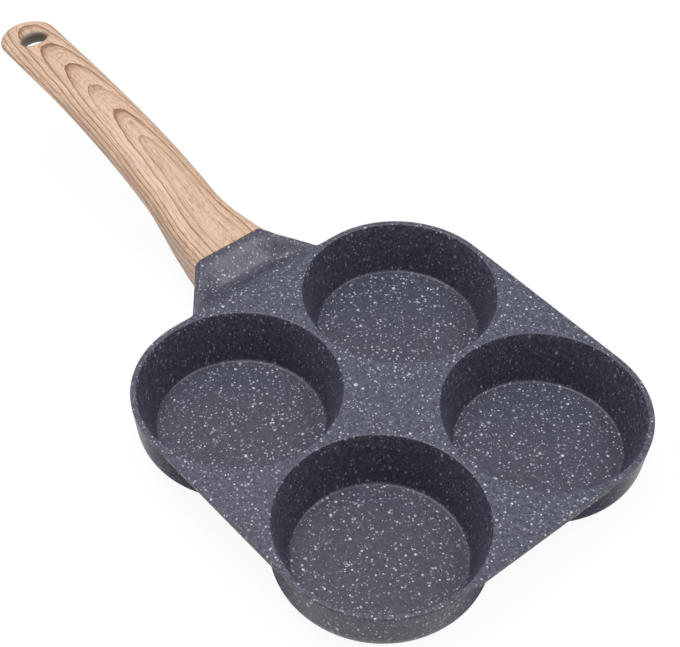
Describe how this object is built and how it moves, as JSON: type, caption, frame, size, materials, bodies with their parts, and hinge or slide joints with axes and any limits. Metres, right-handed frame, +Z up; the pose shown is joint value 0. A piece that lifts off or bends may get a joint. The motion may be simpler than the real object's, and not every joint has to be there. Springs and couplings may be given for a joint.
{
  "type": "multi-cup frying pan",
  "caption": "Cast non-stick pan with round flat-floored cups joined by a plate, and a fixed wood-look handle with a hanging hole, for frying eggs and small pancakes.",
  "frame": {"origin": "middle of the whole pan's footprint, on the plane that the cups stand on", "axes": "+X from the cups to the handle's tail, +Y across the cups, +Z up"},
  "size_m": [0.3886, 0.19, 0.0626],
  "materials": {
    "speckled_coating": "dark grey non-stick coating with white speckles on cast aluminium, satin",
    "wood_look": "moulded plastic with a printed light wood grain, satin lacquer",
    "zinc_steel": "zinc-plated steel"
  },
  "bodies": {
    "root": {"pan_body": "speckled_coating", "handle": "wood_look", "handle_screw": "zinc_steel", "flat_washer": "zinc_steel", "spring_washer": "zinc_steel"}
  },
  "joints": []
}
